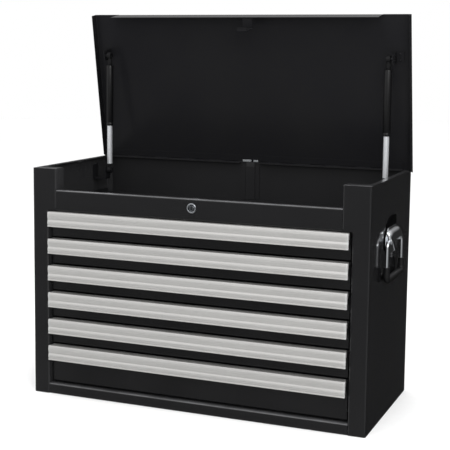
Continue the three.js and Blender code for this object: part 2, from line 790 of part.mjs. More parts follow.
// Guide: a channel on the back panel that covers the bar inside the tray.
function barGuide() {
  const level = [trayTop + seatGap, bodyHeight - barTravel - guideHeadGap];
  const rear = backInner - seatGap;
  const inner = barWidth / 2 + seatGap + guideSheet / 2;
  const plan = strip([
    [-inner - guideEar, rear - guideSheet / 2],
    [-inner, rear - guideSheet / 2],
    [-inner, rear - barSheet - seatGap - guideSheet / 2],
    [inner, rear - barSheet - seatGap - guideSheet / 2],
    [inner, rear - guideSheet / 2],
    [inner + guideEar, rear - guideSheet / 2],
  ], guideSheet, guideSheet / 2 + guideBend);
  return piece('lock_bar_guide', prism(plan, 'z', level[0], level[1]), 'blackPaint');
}

// Side handle, drawn for the right side with x outwards from the panel: a backplate with two round
// corners, a bracket whose hood leans out over the pivot between two cheeks, the bail and its grip.
function handleGroup(word, side) {
  const group = new THREE.Group();
  group.name = `${word}_handle_group`;
  group.position.set(side * halfWidth, -handleForward, bodyHeight - handleDrop);
  if (side < 0) {
    group.rotation.z = Math.PI;
  }
  const plateHalf = backplateWidth / 2;
  const outline = [[plateHalf, -backplateSkirt]];
  [1, -1].forEach((end) => {
    for (let step = 0; step <= cornerSteps; step += 1) {
      const angle = (Math.PI / 2) * (step / cornerSteps);
      const along = end > 0 ? Math.cos(angle) : Math.sin(angle);
      const upwards = end > 0 ? Math.sin(angle) : Math.cos(angle);
      outline.push([
        end * (plateHalf - backplateCorner + along * backplateCorner),
        backplateRise - backplateCorner + upwards * backplateCorner,
      ]);
    }
  });
  outline.push([-plateHalf, -backplateSkirt]);
  const plateOut = seatGap + backplateSheet;
  group.add(piece(`${word}_handle_backplate`, prism(outline, 'x', seatGap, plateOut), 'blackPaint'));

  const start = plateOut + seatGap;
  const wide = bracketPlateWidth / 2;
  const plate = prism([
    [-wide, -bracketPlateDrop + bracketPlateCorner], [-wide, bracketPlateRise - bracketPlateCorner],
    [-wide + bracketPlateCorner, bracketPlateRise], [wide - bracketPlateCorner, bracketPlateRise],
    [wide, bracketPlateRise - bracketPlateCorner], [wide, -bracketPlateDrop + bracketPlateCorner],
    [wide - bracketPlateCorner, -bracketPlateDrop], [-wide + bracketPlateCorner, -bracketPlateDrop],
  ], 'x', start, start + backplateSheet);
  const slope = strip([[start + hoodSheet / 2, hoodRise], [hoodOut, hoodFoot]], hoodSheet);
  const parts = [plate, prism(slope, 'y', -eyeSpan / 2, eyeSpan / 2)];
  const bores = [];
  const cheek = [[start, hoodRise], [hoodOut, hoodFoot], [bailOut, -eyeOuter], [start, -eyeOuter]];
  [-1, 1].forEach((end) => {
    const from = end * (eyeSpan / 2 - eyeLength);
    const to = end * (eyeSpan / 2);
    parts.push(prism(cheek, 'y', to - end * hoodSheet, to));
    parts.push(rod('y', eyeOuter, from, to).translate(bailOut, 0, 0));
    parts.push(block([start, bailOut], [from, to], [-eyeOuter / 2, eyeOuter / 2]));
    bores.push(rod('y', eyeInner, from - end * overrun, to + end * overrun).translate(bailOut, 0, 0));
  });
  group.add(piece(`${word}_handle_bracket`, build(parts, bores), 'chrome'));

  const arm = eyeSpan / 2 + bailArmGap;
  const bail = bentRod([
    [arm - bailPin, 0],
    [arm, 0],
    [arm, -bailDrop],
    [-arm, -bailDrop],
    [-arm, 0],
    [bailPin - arm, 0],
  ], bailBend, bailRadius);
  group.add(piece(`${word}_handle_bail`, bail.translate(bailOut, 0, 0), 'chrome'));

  const sleeve = (radius, extra) => bentRod([
    [arm, gripTurn - bailDrop + extra],
    [arm, -bailDrop],
    [-arm, -bailDrop],
    [-arm, gripTurn - bailDrop + extra],
  ], bailBend, radius).translate(bailOut, 0, 0);
  const grip = build([sleeve(gripRadius, 0)], [sleeve(gripBore, overrun)]);
  group.add(piece(`${word}_handle_grip`, grip, 'blackVinyl'));
  return group;
}

const chest = new THREE.Group();
chest.name = 'top_chest';
chest.add(sidePanel('left_side', -1), sidePanel('right_side', 1));
chest.add(backPanel(), bottomPan(), bottomRail(), topRail(), trayFloor());
chest.add(slideRack('left_rack', -1), slideRack('right_rack', 1));
drawers.forEach((drawer) => chest.add(drawerGroup(drawer)));
const bodyLeaf = hingeLeafPiece('body_leaf', false);
bodyLeaf.position.set(0, hingeY, hingeZ);
chest.add(bodyLeaf, hingePin(), lidGroup());
chest.add(lowerBracket('left', -1), lowerBracket('right', 1));
chest.add(strutGroup('left', -1), strutGroup('right', 1));
chest.add(lockGroup(), lockBar(), barGuide());
chest.add(handleGroup('left', -1), handleGroup('right', 1));

export default chest;
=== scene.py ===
# A six-drawer steel top chest with its lid open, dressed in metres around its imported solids.
# X runs to the chest's right, Y to its back and Z up from the middle of its underside.
# Each section makes one piece or a group of like pieces, in the order in which the chest is put together.

import json
import math

import bmesh
import bpy
import numpy as np
from mathutils import Matrix, Vector


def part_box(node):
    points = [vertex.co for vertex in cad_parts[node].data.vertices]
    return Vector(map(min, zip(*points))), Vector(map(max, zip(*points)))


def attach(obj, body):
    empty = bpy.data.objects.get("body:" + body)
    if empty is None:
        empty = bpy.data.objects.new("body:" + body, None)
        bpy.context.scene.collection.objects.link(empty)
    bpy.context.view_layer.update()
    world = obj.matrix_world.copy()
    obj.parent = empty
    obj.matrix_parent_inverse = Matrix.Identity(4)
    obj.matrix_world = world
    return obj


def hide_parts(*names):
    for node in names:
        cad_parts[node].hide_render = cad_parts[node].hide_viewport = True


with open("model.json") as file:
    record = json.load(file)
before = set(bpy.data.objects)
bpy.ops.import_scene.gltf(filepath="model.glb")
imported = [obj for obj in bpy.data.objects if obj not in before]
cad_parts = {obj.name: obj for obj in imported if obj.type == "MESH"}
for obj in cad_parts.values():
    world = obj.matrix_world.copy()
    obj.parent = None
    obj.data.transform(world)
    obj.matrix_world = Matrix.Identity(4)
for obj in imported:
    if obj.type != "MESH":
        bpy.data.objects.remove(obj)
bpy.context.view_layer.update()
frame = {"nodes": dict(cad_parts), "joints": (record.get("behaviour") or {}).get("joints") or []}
MM = 0.001


# The camera stands to the right of the middle and a little above the tray, as a product photographer
# stands a long lens some two metres off, and its lens is shifted down, which keeps the posts nearly upright.
# Its place and lens come from the corners of the case in the picture.
camera_place = Vector((805.6, -1986.4, 670.9)) * MM
camera_azimuth = math.radians(21.981)
camera_elevation = math.radians(6.801)
camera_roll = math.radians(0.638)
lens_shift = -0.09
sensor_width = 36
picture_pixels = 450
focal_pixels = 1103.3


def camera_axes(azimuth, elevation, roll):
    """Right, up and backward directions of a camera turned to an azimuth, tipped down and rolled."""
    flat = math.cos(elevation)
    forward = Vector((-math.sin(azimuth) * flat, math.cos(azimuth) * flat, -math.sin(elevation)))
    level = forward.cross(Vector((0, 0, 1))).normalized()
    upright = level.cross(forward)
    right = level * math.cos(roll) + upright * math.sin(roll)
    up = upright * math.cos(roll) - level * math.sin(roll)
    return right, up, -forward


camera_data = bpy.data.cameras.new("camera")
camera_data.sensor_width = sensor_width
camera_data.lens = focal_pixels / picture_pixels * sensor_width
camera_data.shift_y = lens_shift
camera = bpy.data.objects.new("camera", camera_data)
axes = camera_axes(camera_azimuth, camera_elevation, camera_roll)
camera.matrix_world = Matrix.Translation(camera_place) @ Matrix(axes).transposed().to_4x4()
bpy.context.scene.collection.objects.link(camera)
bpy.context.scene.camera = camera
bpy.context.scene.view_settings.view_transform = "Standard"


# The studio's room: even and bright to matt faces. What a shiny face mirrors is graded, as it is between a
# photographer's flats: light in front, dark low down behind, and a little darker to the right.
def linear(colour):
    """An sRGB hex colour as linear red, green, blue and full alpha."""
    shares = [int(colour[i:i + 2], 16) / 255 for i in (1, 3, 5)]
    return (*(s / 12.92 if s <= 0.04045 else ((s + 0.055) / 1.055) ** 2.4 for s in shares), 1.0)


def add_node(tree, kind, sockets=None, **settings):
    """Adds a shader node. Sockets are input values, or the outputs that inputs are linked to."""
    made = tree.nodes.new("ShaderNode" + kind)
    for name, value in settings.items():
        setattr(made, name, value)
    for name, value in (sockets or {}).items():
        if isinstance(value, bpy.types.NodeSocket):
            tree.links.new(value, made.inputs[name])
        else:
            made.inputs[name].default_value = value
    return made


# Two dark flags stand in the room. The flat front faces mirror the small one, to the left of the camera and a
# little below it, and the folds of the posts mirror the large one at the right. Each is an azimuth, an
# elevation, the angles from its middle where its shade starts and is full, and the share of light it leaves.
front_flag = (-22, -8, 20, 11, 0.26)
side_flag = (68, -5, 62, 42, 0.4)


def flag_shade(tree, direction, azimuth, elevation, outer, inner, left):
    """The share of light that a flag leaves: all past the outer angle, and its own inside the inner one."""
    azimuth, elevation, outer, inner = (math.radians(angle) for angle in (azimuth, elevation, outer, inner))
    flag_way = Vector((math.sin(azimuth), -math.cos(azimuth), math.tan(elevation))).normalized()
    beside = add_node(tree, "VectorMath", {0: direction, 1: flag_way}, operation="DOT_PRODUCT")
    shade = add_node(tree, "MapRange", {"Value": beside.outputs["Value"], "From Min": math.cos(outer),
                                        "From Max": math.cos(inner), "To Min": 1.0, "To Max": left},
                     interpolation_type="SMOOTHSTEP")
    return shade.outputs[0]


def studio_room():
    """A world that is white to the camera, a sky to matt faces, and graded and flagged to shiny ones."""
    made = bpy.data.worlds.new("studio")
    made.use_nodes = True
    tree = made.node_tree
    tree.nodes.clear()
    direction = add_node(tree, "TexCoord").outputs["Generated"]
    way = add_node(tree, "SeparateXYZ", {0: direction})
    behind = add_node(tree, "MapRange", {"Value": way.outputs["Z"], "From Min": 0.12, "From Max": 0.55,
                                         "To Min": 0.03, "To Max": 0.95})
    before = add_node(tree, "MapRange", {"Value": way.outputs["Z"], "From Min": -0.55, "From Max": 0.45,
                                         "To Min": 0.62, "To Max": 1.28})
    facing = add_node(tree, "MapRange", {"Value": way.outputs["Y"], "From Min": 0.35, "From Max": -0.6},
                      interpolation_type="SMOOTHSTEP")
    around = add_node(tree, "Mix", {"Factor": facing.outputs[0], "A": behind.outputs[0],
                                    "B": before.outputs[0]}, data_type="FLOAT")
    leaning = add_node(tree, "MapRange", {"Value": way.outputs["X"], "From Min": -0.6, "From Max": 0.5,
                                          "To Min": 1.12, "To Max": 0.8})
    mirrored = add_node(tree, "Math", {0: around.outputs[0], 1: leaning.outputs[0]}, operation="MULTIPLY")
    for flag in (front_flag, side_flag):
        mirrored = add_node(tree, "Math", {0: mirrored.outputs[0], 1: flag_shade(tree, direction, *flag)},
                            operation="MULTIPLY")
    sky = add_node(tree, "MapRange", {"Value": way.outputs["Z"], "From Min": 0.0, "From Max": 0.9,
                                      "To Min": 0.6, "To Max": 1.2})
    ray = add_node(tree, "LightPath")
    lit = add_node(tree, "Mix", {"Factor": ray.outputs["Is Glossy Ray"], "A": sky.outputs[0],
                                 "B": mirrored.outputs[0]}, data_type="FLOAT")
    level = add_node(tree, "Mix", {"Factor": ray.outputs["Is Camera Ray"], "A": lit.outputs[0], "B": 1.0},
                     data_type="FLOAT")
    room = add_node(tree, "Background", {"Strength": level.outputs[0], "Color": linear("#ffffff")})
    add_node(tree, "OutputWorld", {"Surface": room.outputs[0]})
    return made


bpy.context.scene.world = studio_room()


# The soft boxes: one at the right that only shiny faces mirror, for the highlights, and three that light the
# matt faces and aren't mirrored, from the right, from overhead and from the front.
chest_middle = Vector((0, 0, 0.35))


def add_light(name, place, size, power):
    """A square soft box at a place, turned to the middle of the chest."""
    data = bpy.data.lights.new(name, "AREA")
    data.shape = "SQUARE"
    data.size = size
    data.energy = power
    light = bpy.data.objects.new(name, data)
    light.location = place
    light.rotation_euler = (chest_middle - Vector(place)).to_track_quat("-Z", "Y").to_euler()
    bpy.context.scene.collection.objects.link(light)
    return light


add_light("shine_softbox", (1.6, -1.9, 1.9), 1.6, 44).visible_diffuse = False
for name, place, size, power in (("key_softbox", (1.7, -2.1, 1.5), 1.2, 16),
                                 ("overhead_softbox", (0.1, -0.5, 2.4), 1.6, 26),
                                 ("front_fill", (0.7, -2.2, 0.9), 1.2, 18)):
    add_light(name, place, size, power).visible_glossy = False


# The floor: a sweep of uncoated white paper rolled out flat under the chest, wide enough to fill every view.
# Shiny faces don't mirror it, because the room's grading already gives them what a sweep would.
floor_radii = (0.5, 2, 5, 9)
floor_steps = 64
fibre_clump = MM / 0.06
weld = 0.001 * MM


def new_material(name, **constants):
    """A material with a shader whose sockets take these constant values."""
    material = bpy.data.materials.new(name)
    material.use_nodes = True
    shader = material.node_tree.nodes["Principled BSDF"]
    for socket, value in constants.items():
        shader.inputs[socket.replace("_", " ")].default_value = value
    return material, material.node_tree, shader


def colour_by(tree, shader, pattern, dark, light, spread=(0.0, 1.0)):
    """Takes the colour from dark to light as a pattern rises over its spread."""
    tone = add_node(tree, "ValToRGB", {"Fac": pattern})
    for stop, colour, position in zip(tone.color_ramp.elements, (dark, light), spread):
        stop.color = linear(colour)
        stop.position = position
    tree.links.new(tone.outputs["Color"], shader.inputs["Base Color"])


def grid_faces(rows, columns, wrap_rows=False, wrap_columns=True):
    """Quads of a grid of points: each joins a point to the next one in its row and in its column."""
    row = np.arange(rows if wrap_rows else rows - 1)
    column = np.arange(columns if wrap_columns else columns - 1)
    r, c = np.meshgrid(row, column, indexing="ij")
    after, beside = (r + 1) % rows, (c + 1) % columns
    quads = [r * columns + c, r * columns + beside, after * columns + beside, after * columns + c]
    return np.stack(quads, axis=-1).reshape(-1, 4).tolist()


def add_object(name, points, faces, material, sharp=35):
    """A mesh object at the origin, with its faces outwards, smooth but for edges past the sharp angle."""
    mesh = bpy.data.meshes.new(name)
    mesh.from_pydata(np.asarray(points, float).reshape(-1, 3).tolist(), [], faces)
    shell = bmesh.new()
    shell.from_mesh(mesh)
    bmesh.ops.remove_doubles(shell, verts=shell.verts, dist=weld)
    bmesh.ops.recalc_face_normals(shell, faces=shell.faces)
    shell.to_mesh(mesh)
    shell.free()
    mesh.shade_smooth()
    mesh.set_sharp_from_angle(angle=math.radians(sharp))
    mesh.materials.append(material)
    made = bpy.data.objects.new(name, mesh)
    bpy.context.scene.collection.objects.link(made)
    return made


def white_paper():
    """Uncoated paper: it has hardly any shine, and its fibre breaks the white a little."""
    material, tree, shader = new_material("white_paper_sweep", Roughness=0.9, Specular_IOR_Level=0.1)
    at = add_node(tree, "TexCoord").outputs["Object"]
    # Fibre clumps are a few millimetres across, and they are drawn at about 17 mm so that they show.
    fibre = add_node(tree, "TexNoise", {"Vector": at, "Scale": 1 / fibre_clump, "Detail": 4.0})
    colour_by(tree, shader, fibre.outputs["Fac"], "#fafafa", "#ffffff")
    return material


def disc(radii, steps):
    """Rings of points round the Z axis on the ground, and a face inside the first ring."""
    radius = np.array(radii)[:, None]
    angle = np.linspace(0, 2 * math.pi, steps, endpoint=False)
    points = np.stack(np.broadcast_arrays(radius * np.cos(angle), radius * np.sin(angle), 0.0), axis=-1)
    return points, grid_faces(len(radii), steps) + [list(range(steps))]


floor = add_object("paper_floor", *disc(floor_radii, floor_steps), white_paper())
floor.visible_glossy = False


# The case: sides folded round into the front posts, back, bottom pan, rails and tray floor, all of
# 1.2 mm cold-rolled steel, bent, spot welded and sprayed with gloss black powder.
case_sheet = 1.2 * MM
outer_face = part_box("right_side")[1].x
post_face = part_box("right_side")[0].y
# The painted sheen on the case's upward faces is full up to the first depth behind the front and gone by the
# second.
sheen_start = post_face + 2.5 * MM
sheen_end = post_face + 14.5 * MM


def shine_by(tree, shader, pattern, gloss, rough, spread=(0.3, 0.7)):
    """Takes the roughness from gloss to rough as a pattern rises over its spread."""
    shine = add_node(tree, "MapRange", {"Value": pattern, "From Min": spread[0], "From Max": spread[1],
                                        "To Min": gloss, "To Max": rough})
    tree.links.new(shine.outputs[0], shader.inputs["Roughness"])


def relief_by(tree, shader, pattern, strength, depth, fold=0.0):
    """Raises the surface by a pattern, on edges that are eased by the radius of a fold, if there is one."""
    sockets = {"Height": pattern, "Strength": strength, "Distance": depth}
    if fold:
        sockets["Normal"] = add_node(tree, "Bevel", {"Radius": fold}, samples=6).outputs["Normal"]
    relief = add_node(tree, "Bump", sockets)
    tree.links.new(relief.outputs["Normal"], shader.inputs["Normal"])


def powder_coat(name, colour, dusty, gloss, rough, specular, fold=0.8 * MM):
    """Baked powder: orange peel makes its reflections waver, and faint hand marks dull them in clouds."""
    material, tree, shader = new_material(name, IOR=1.5, Specular_IOR_Level=specular)
    at = add_node(tree, "TexCoord").outputs["Object"]
    # Real peel is about 1 mm across, and it is drawn at 4 mm so that it shows.
    peel = add_node(tree, "TexNoise", {"Vector": at, "Scale": 1 / (4 * MM), "Detail": 2.0})
    marks = add_node(tree, "TexNoise", {"Vector": at, "Scale": 1 / (160 * MM), "Detail": 5.0,
                                        "Roughness": 0.6})
    colour_by(tree, shader, marks.outputs["Fac"], colour, dusty, (0.3, 0.75))
    shine_by(tree, shader, marks.outputs["Fac"], gloss, rough)
    relief_by(tree, shader, peel.outputs["Fac"], 0.08, 0.1 * MM, fold)
    return material


def paint_light_on_case(material, painted_fill_colour, painted_sheen_colour):
    """Paints light onto two kinds of place on the case. Its inner faces take a lighter grey, a painted fill
    for light that the shaded inside lacks. Its upward faces along the front take a lighter grey in patches
    a few centimetres long, a painted sheen for the overhead light they catch, and a rougher shine. A place
    counts as inside from half the sheet behind the front and within both sides."""
    tree = material.node_tree
    shader = tree.nodes["Principled BSDF"]
    coordinates = add_node(tree, "TexCoord")
    place = add_node(tree, "SeparateXYZ", {0: coordinates.outputs["Object"]})
    upright = add_node(tree, "SeparateXYZ", {0: coordinates.outputs["Normal"]})
    # Painted fill: the inner faces are painted a lighter grey, which stands in for light that doesn't reach
    # inside.
    wall = add_node(tree, "Math", {0: place.outputs["X"]}, operation="ABSOLUTE")
    between_walls = add_node(tree, "Math", {0: wall.outputs[0], 1: outer_face - case_sheet / 2},
                             operation="LESS_THAN")
    behind_posts = add_node(tree, "Math", {0: place.outputs["Y"], 1: post_face + case_sheet / 2},
                            operation="GREATER_THAN")
    inside = add_node(tree, "Math", {0: between_walls.outputs[0], 1: behind_posts.outputs[0]},
                      operation="MULTIPLY")
    # Painted sheen: upward faces along the front are lightened in patches, for the overhead light they catch.
    upward = add_node(tree, "MapRange", {"Value": upright.outputs["Z"], "From Min": 0.35, "From Max": 0.9})
    patches = add_node(tree, "TexNoise", {"Vector": coordinates.outputs["Object"], "Scale": 1 / (45 * MM),
                                          "Detail": 3.0})
    patchy_sheen = add_node(tree, "MapRange", {"Value": patches.outputs["Fac"], "From Min": 0.3, "From Max": 0.65,
                                       "To Min": 0.45, "To Max": 1.0})
    near_front = add_node(tree, "MapRange", {"Value": place.outputs["Y"], "From Min": sheen_start,
                                          "From Max": sheen_end, "To Min": 1.0, "To Max": 0.0})
    sheen_in_front = add_node(tree, "Math", {0: near_front.outputs[0], 1: patchy_sheen.outputs[0]}, operation="MULTIPLY")
    sheen_share = add_node(tree, "Math", {0: upward.outputs[0], 1: sheen_in_front.outputs[0]}, operation="MULTIPLY")
    paint = shader.inputs["Base Color"].links[0].from_socket
    for share, colour in ((inside, painted_fill_colour), (sheen_share, painted_sheen_colour)):
        greyed = add_node(tree, "Mix", {"Factor": share.outputs[0], "A": paint, "B": linear(colour)},
                          data_type="RGBA")
        paint = greyed.outputs["Result"]
    tree.links.new(paint, shader.inputs["Base Color"])
    polish = shader.inputs["Roughness"].links[0].from_socket
    dulled = add_node(tree, "Mix", {"Factor": upward.outputs[0], "A": polish, "B": 0.2}, data_type="FLOAT")
    tree.links.new(dulled.outputs[0], shader.inputs["Roughness"])


def dress(material, *names):
    """Gives CAD nodes a finish in place of their plain one."""
    for name in names:
        frame["nodes"][name].material_slots[0].material = material


# The gloss coat mirrors the room sharply but for its peel. The flat one inside only shows a soft grey sheen.
gloss_powder = powder_coat("gloss_black_powder_coat_on_steel", "#131314", "#151516", 0.08, 0.14, 0.4,
                           0.15 * MM)
# Painted light on the case: a lighter grey as a painted fill on its inner faces, and a painted sheen on its
# upward faces along the front.
paint_light_on_case(gloss_powder, "#2e2e2f", "#6c6c6e")
flat_powder = powder_coat("thin_flat_black_powder_coat_inside", "#1d1d1e", "#1f1f20", 0.35, 0.5, 0.1,
                          0.1 * MM)
dress(gloss_powder, "left_side", "right_side", "bottom_pan", "bottom_rail", "top_rail")
dress(flat_powder, "back_panel", "tray_floor")


# The slides: outer channels on two uprights at either side, and inner channels on the drawers,
# rolled from zinc-plated strip, whose shine runs in fine lines along the rolling direction.
drawer_numbers = range(1, 7)
words = ("left", "right")
roll_pitch = MM / 1.4
roll_run = 1000 * MM / 22


def zinc_plate(name, dull, bright):
    """Plated strip: its shine and a slight relief run in lines along Y, which streak its reflections."""
    material, tree, shader = new_material(name, Metallic=1.0)
    at = add_node(tree, "TexCoord").outputs["Object"]
    # Rolling lines are about a tenth of a millimetre apart, and they are drawn at 0.7 mm so that they show.
    drawn = add_node(tree, "Mapping", {"Vector": at, "Scale": (1 / roll_pitch, 1 / roll_run, 1 / roll_pitch)})
    lines = add_node(tree, "TexNoise", {"Vector": drawn.outputs[0], "Scale": 1.0, "Detail": 3.0})
    cloud = add_node(tree, "TexNoise", {"Vector": at, "Scale": 1 / (18 * MM), "Detail": 3.0})
    colour_by(tree, shader, cloud.outputs["Fac"], dull, bright, (0.3, 0.7))
    shine_by(tree, shader, lines.outputs["Fac"], 0.24, 0.42)
    relief_by(tree, shader, lines.outputs["Fac"], 0.15, 0.03 * MM, 0.5 * MM)
    return material


bright_zinc = zinc_plate("bright_zinc_plate_on_rolled_steel", "#9da1a5", "#b4b7ba")
dress(bright_zinc, "left_rack", "right_rack")
dress(bright_zinc, *(f"drawer_{n}_rail_{word}" for n in drawer_numbers for word in words))


# The drawers: one sheet folded into the box, with the front folded over it, of 1 mm steel in the same
# black powder, baked a little less glossy than the case, so that reflections on the fronts are softer.
satin_powder = powder_coat("satin_black_powder_coat_on_drawers", "#0f0f10", "#121213", 0.18, 0.26, 0.3)
dress(satin_powder, *(f"drawer_{n}" for n in drawer_numbers))


# The pulls: an aluminium extrusion hooked over the top of each drawer front, with two shallow rounded
# bands and a lip, anodised in natural silver. The die leaves fine straight lines along it.
pull_wall = 1.8 * MM
pull_foot = 13 * MM
pull_swell = 1.25 * MM
pull_ridge = 14.3 * MM
pull_lip = 2.4 * MM
pull_ease = 0.6 * MM
band_power = 0.9
cap_length = 3.2 * MM
die_pitch = MM / 0.9
die_run = 1000 * MM / 3


def band(start, end, face, steps=24):
    """A band of the front, from start to end: it leaves the groove, swells out to the face and comes back. It
    stands out by the swell times the sine of half a turn times a power of the share of the way along it."""
    share = np.linspace(0, 1, steps)
    out = np.sin(np.pi * share ** band_power) * pull_swell
    return np.stack([face + pull_swell - out, start + (end - start) * share], axis=-1)


def pull_front(low, high):
    """The outer line of the pull, from the top of its rear foot over the face to the foot of the lip."""
    ridge = low.z + pull_ridge
    lip = low.z + pull_lip
    return np.concatenate([band(high.z, ridge, low.y), band(ridge - pull_swell, lip, low.y),
                           [[low.y, lip - pull_swell / 2], [low.y, low.z]]])


def eased(points, radius, steps=4, blunt=30, most=0.45):
    """A closed outline in which each corner that turns by more than the blunt angle, in degrees, is cut back
    by the radius, or by the most share of its shorter side, and rounded by a quadratic curve whose middle
    control is the old corner."""
    arrive, leave = points - np.roll(points, 1, axis=0), np.roll(points, -1, axis=0) - points
    long_in, long_out = (np.linalg.norm(side, axis=1, keepdims=True) for side in (arrive, leave))
    cosine = (arrive * leave).sum(1, keepdims=True) / (long_in * long_out)
    sharp = cosine <= math.cos(math.radians(blunt))
    cut = np.where(sharp, np.minimum(radius, np.minimum(long_in, long_out) * most), 0)
    first = (points - arrive / long_in * cut)[:, None]
    last = (points + leave / long_out * cut)[:, None]
    t = np.linspace(0, 1, steps)[:, None]
    curves = (1 - t) ** 2 * first + 2 * t * (1 - t) * points[:, None] + t ** 2 * last
    return curves[sharp | (np.arange(steps) == 0)]


def tube_faces(rings, steps):
    """Quads of a tube made of rings of points, and a face over either end."""
    ends = [list(range(steps)), list(range(steps * (rings - 1), steps * rings))]
    return grid_faces(rings, steps) + ends


def carried(outline, levels):
    """An outline in Y and Z carried along X, with flat ends. At each level of (place, inset) it is drawn in
    towards its own middle by the inset."""
    place, inset = np.array(levels, float).T[:, :, None]
    centre = (outline.max(0) + outline.min(0)) / 2
    half = (outline.max(0) - outline.min(0)) / 2
    drawn = centre + (outline - centre) * (1 - inset / half)[:, None]
    points = np.stack(np.broadcast_arrays(place, drawn[..., 0], drawn[..., 1]), axis=-1)
    return points, tube_faces(len(levels), len(outline))


def anodised_extrusion():
    """Anodised metal: die lines break its colour and relief, which draws the reflections out along it."""
    material, tree, shader = new_material("natural_anodised_aluminium_extrusion", Metallic=0.7)
    at = add_node(tree, "TexCoord").outputs["Object"]
    # Die lines are a few tenths of a millimetre apart, and they are drawn at about 1 mm so that they show.
    drawn = add_node(tree, "Mapping", {"Vector": at, "Scale": (1 / die_run, 1 / die_pitch, 1 / die_pitch)})
    lines = add_node(tree, "TexNoise", {"Vector": drawn.outputs[0], "Scale": 1.0, "Detail": 3.0,
                                        "Roughness": 0.6})
    cloud = add_node(tree, "TexNoise", {"Vector": at, "Scale": 1 / (70 * MM), "Detail": 2.0})
    colour_by(tree, shader, lines.outputs["Fac"], "#b1b0ae", "#bfbebc", (0.25, 0.75))
    shine_by(tree, shader, cloud.outputs["Fac"], 0.42, 0.5)
    relief_by(tree, shader, lines.outputs["Fac"], 0.25, 0.03 * MM)
    return material


anodised = anodised_extrusion()
for n in drawer_numbers:
    low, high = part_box(f"drawer_{n}_pull")
    inner, under = low.y + pull_swell + pull_wall, high.z - pull_wall
    hook, foot = high.y - pull_wall, high.z - pull_foot
    rear = [[inner, low.z], [inner, under], [hook, under], [hook, foot], [high.y, foot], [high.y, high.z]]
    outline = eased(np.concatenate([pull_front(low, high), rear]), pull_ease)
    pull = add_object(f"pull_{n}", *carried(outline, [(low.x + cap_length, 0), (high.x - cap_length, 0)]),
                      anodised)
    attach(pull, f"drawer_{n}")
    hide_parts(f"drawer_{n}_pull")


# The pull's end caps: thin mouldings of silver ABS pressed over the front of either end of each extrusion.
# They follow its face, a little thicker on the inside, and are a shade smoother than the metal between them.
cap_edge = 0.7 * MM
cap_wall = 2.6 * MM
cap_reach = 7 * MM
sides = dict(zip(words, (-1, 1)))


def silver_abs():
    """Moulded silver plastic: a fine grain in its tone and shine, flatter to the eye than the metal."""
    material, tree, shader = new_material("silver_abs_moulded", Metallic=0.35, IOR=1.53)
    at = add_node(tree, "TexCoord").outputs["Object"]
    # The mould's grain is about a tenth of a millimetre, and it is drawn at 1.2 mm so that it shows.
    grain = add_node(tree, "TexNoise", {"Vector": at, "Scale": 1 / (1.2 * MM), "Detail": 2.0})
    colour_by(tree, shader, grain.outputs["Fac"], "#a8a8a7", "#b2b2b1")
    shine_by(tree, shader, grain.outputs["Fac"], 0.32, 0.4, (0.0, 1.0))
    return material


def eased_levels(start, end, ease):
    """Levels of a piece from start to end along X: square at its start and eased over its rim at the end."""
    return [(start, 0), (end - ease, 0), (end - ease * 0.3, ease * 0.25), (end, ease)]


cap_plastic = silver_abs()
for n in drawer_numbers:
    low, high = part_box(f"drawer_{n}_pull")
    inner, under, back = low.y + pull_swell + cap_wall, high.z - cap_wall, low.y + cap_reach
    rear = [[inner, low.z], [inner, under], [back, under], [back, high.z]]
    outline = eased(np.concatenate([pull_front(low, high), rear]), pull_ease)
    points, faces = carried(outline, eased_levels(-cap_length, 0, cap_edge))
    for word, side in sides.items():
        end = high.x if side > 0 else low.x
        cap = add_object(f"pull_{n}_cap_{word}", points * (side, 1, 1) + (end, 0, 0), faces, cap_plastic, 50)
        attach(cap, f"drawer_{n}")


# The lid: a shallow pan of 1.2 mm steel with side flanges and a front flange, in satin black powder that
# mirrors the room more faintly than the case. A full-width hinge joins it to the back, its leaves spot welded
# and painted over, its pin plated steel. The struts' brackets are fixed before the spray, too.
lid_powder = powder_coat("satin_black_powder_coat_on_lid", "#18181a", "#1b1b1c", 0.16, 0.22, 0.08)
dress(lid_powder, "lid", "lid_leaf", "body_leaf", "lid_strike")
dress(lid_powder, *(f"{word}_{place}_bracket" for place in ("upper", "lower") for word in words))
dress(bright_zinc, "hinge_pin")


# The lock bar behind the drawers: zinc-plated strip, whose head the lid pushes down. Below the top of its
# head it is painted dark, a painted shade for the shadow under the back's top return, so only that edge
# shines. A painted channel covers it in the tray. The lock's cam and nut are of the same plated steel, and
# are left bare.
lit_head_depth = 3.6 * MM
painted_shade_edge = 0.4 * MM


def paint_shade_below(material, level, paint):
    """Paints shade on the plate below a level, so that only the part above it shines."""
    tree = material.node_tree
    shader = tree.nodes["Principled BSDF"]
    place = add_node(tree, "SeparateXYZ", {0: add_node(tree, "TexCoord").outputs["Object"]})
    bare = add_node(tree, "MapRange", {"Value": place.outputs["Z"], "From Min": level - painted_shade_edge,
                                       "From Max": level})
    plated = shader.inputs["Base Color"].links[0].from_socket
    shaded_plate = add_node(tree, "Mix", {"Factor": bare.outputs[0], "A": linear(paint), "B": plated},
                       data_type="RGBA")
    tree.links.new(shaded_plate.outputs["Result"], shader.inputs["Base Color"])
    tree.links.new(bare.outputs[0], shader.inputs["Metallic"])


strip_with_painted_shade = zinc_plate("zinc_plated_strip_with_painted_shade_below_its_head", "#b0b4b8", "#c4c7ca")
# Painted shade: the bar is dark below the top of its head.
paint_shade_below(strip_with_painted_shade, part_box("lock_bar")[1].z - lit_head_depth, "#1d1d1e")
dress(strip_with_painted_shade, "lock_bar")
dress(bright_zinc, "lock_nut", "lock_cam")
dress(flat_powder, "lock_bar_guide")


